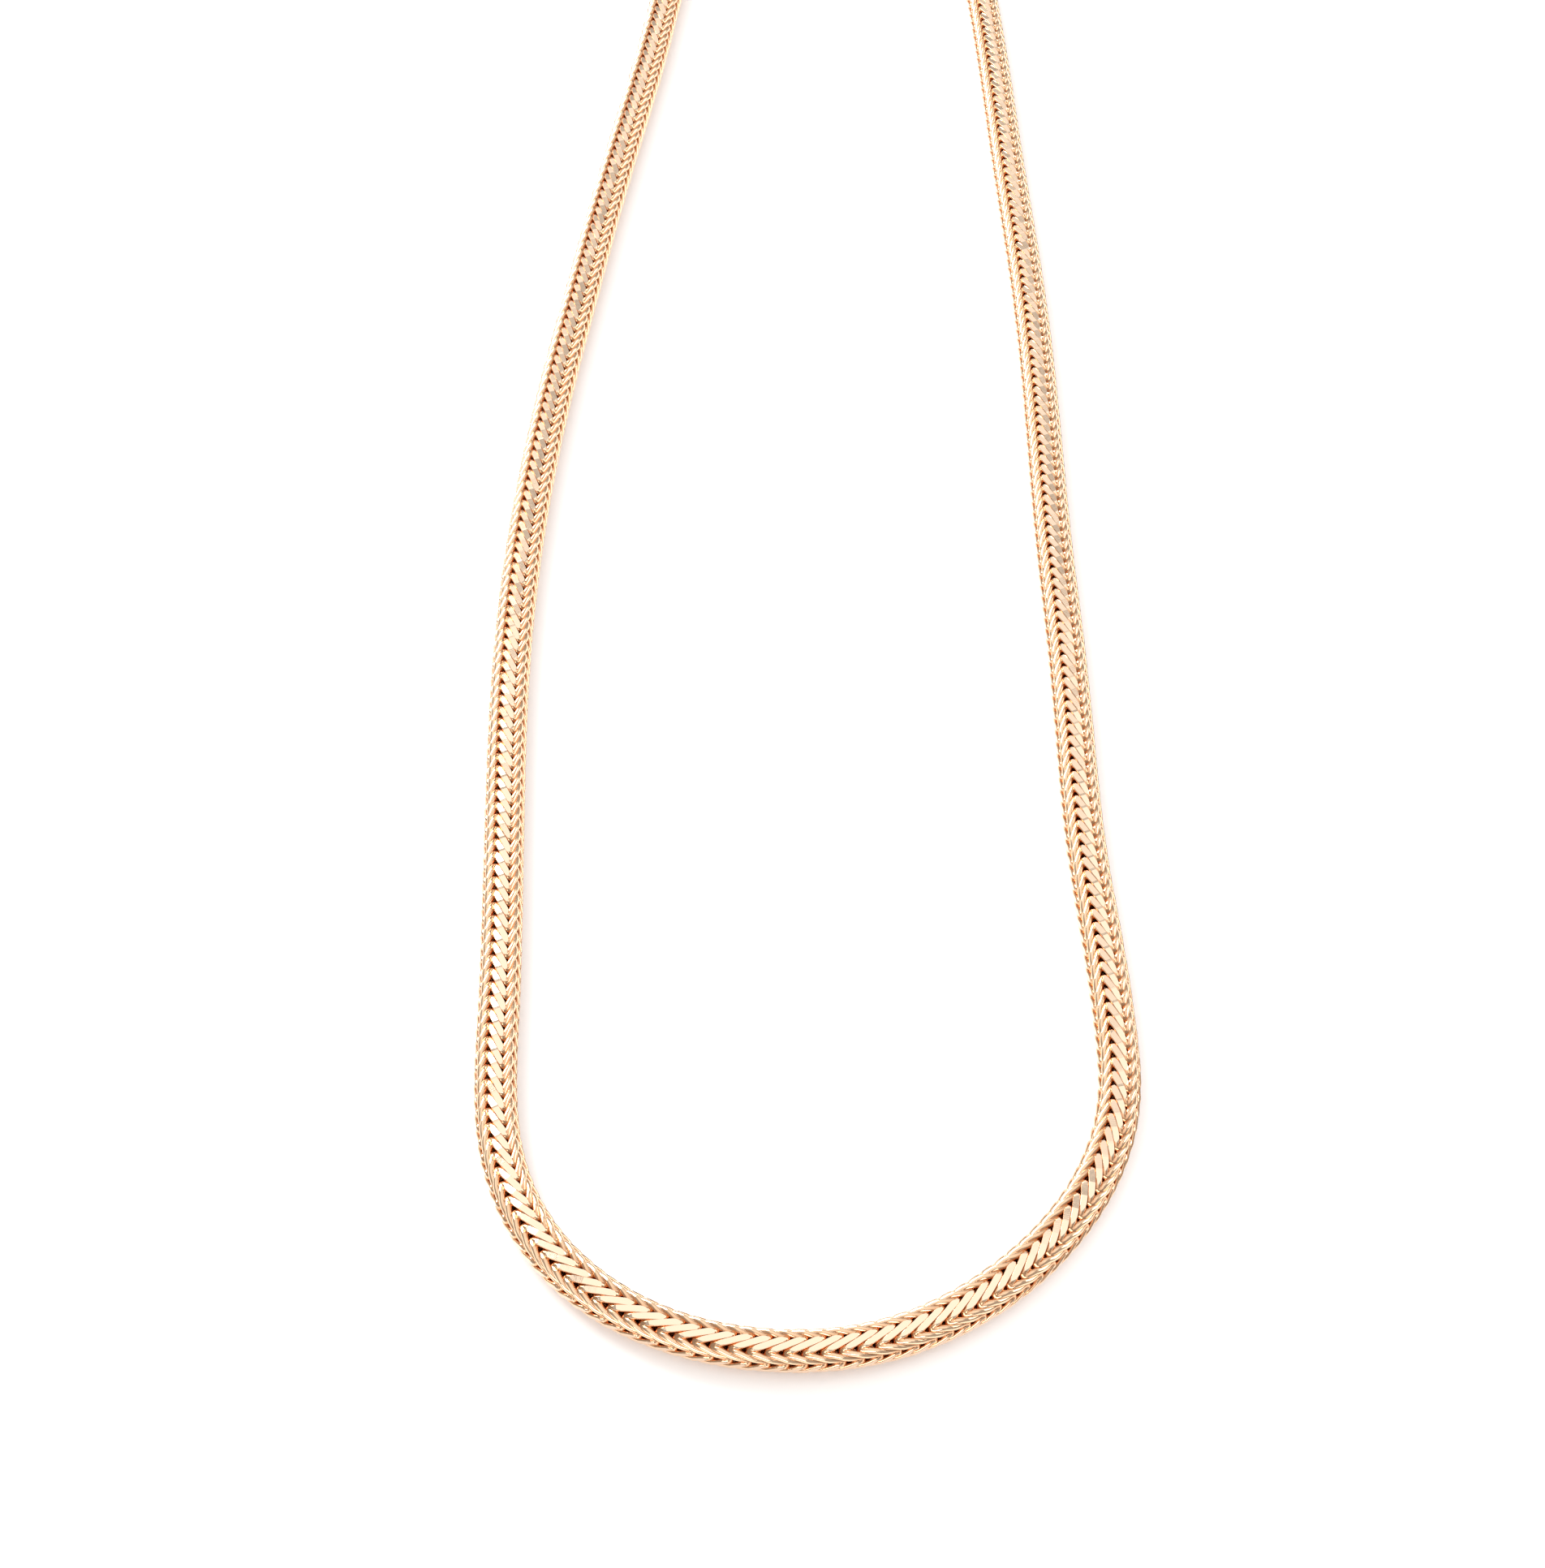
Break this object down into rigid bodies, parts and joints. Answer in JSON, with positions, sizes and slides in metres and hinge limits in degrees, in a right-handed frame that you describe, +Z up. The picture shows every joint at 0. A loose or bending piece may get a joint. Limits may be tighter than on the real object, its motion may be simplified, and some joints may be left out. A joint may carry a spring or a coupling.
{
  "type": "woven herringbone-pattern neck chain with a barrel clasp",
  "caption": "Closed neck chain of woven, planed links in rose gold colour, laid as a long narrow loop and joined by a plain barrel clasp.",
  "frame": {"origin": "on the resting surface, under the middle of the loop's box", "axes": "+X to the right across the loop, +Y along the loop from its rounded front to the clasp, +Z up"},
  "size_m": [0.0659, 0.2277, 0.006],
  "materials": {
    "chain_metal": "polished rose gold plate, planed bright along the corners",
    "clasp_metal": "polished rose gold plate"
  },
  "bodies": {
    "root": {"chain": "chain_metal", "clasp": "clasp_metal"}
  },
  "joints": []
}
